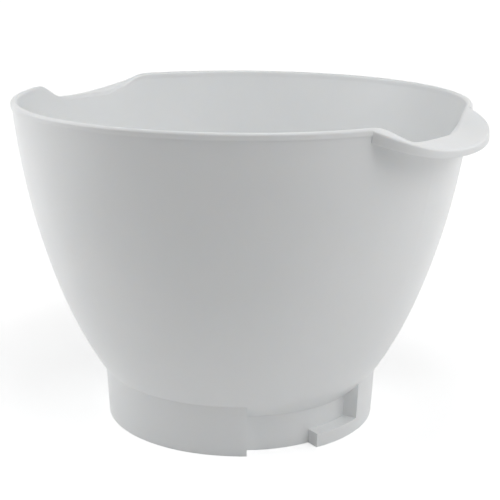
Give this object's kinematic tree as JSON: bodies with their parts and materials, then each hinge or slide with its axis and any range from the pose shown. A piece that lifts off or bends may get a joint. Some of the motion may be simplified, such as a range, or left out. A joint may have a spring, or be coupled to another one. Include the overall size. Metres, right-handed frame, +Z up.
{
  "type": "stand mixer bowl",
  "caption": "Round moulded mixing bowl with a beaded rim that flares into two drooping ears, on a short round foot with L-shaped bayonet slots.",
  "frame": {"origin": "centre of the foot's sole, on the surface that the bowl stands on", "axes": "+Z up along the bowl's axis, X through the two ears"},
  "size_m": [0.2688, 0.2394, 0.172],
  "materials": {
    "white_plastic": "satin"
  },
  "bodies": {
    "root": {"bowl": "white_plastic"}
  },
  "joints": []
}
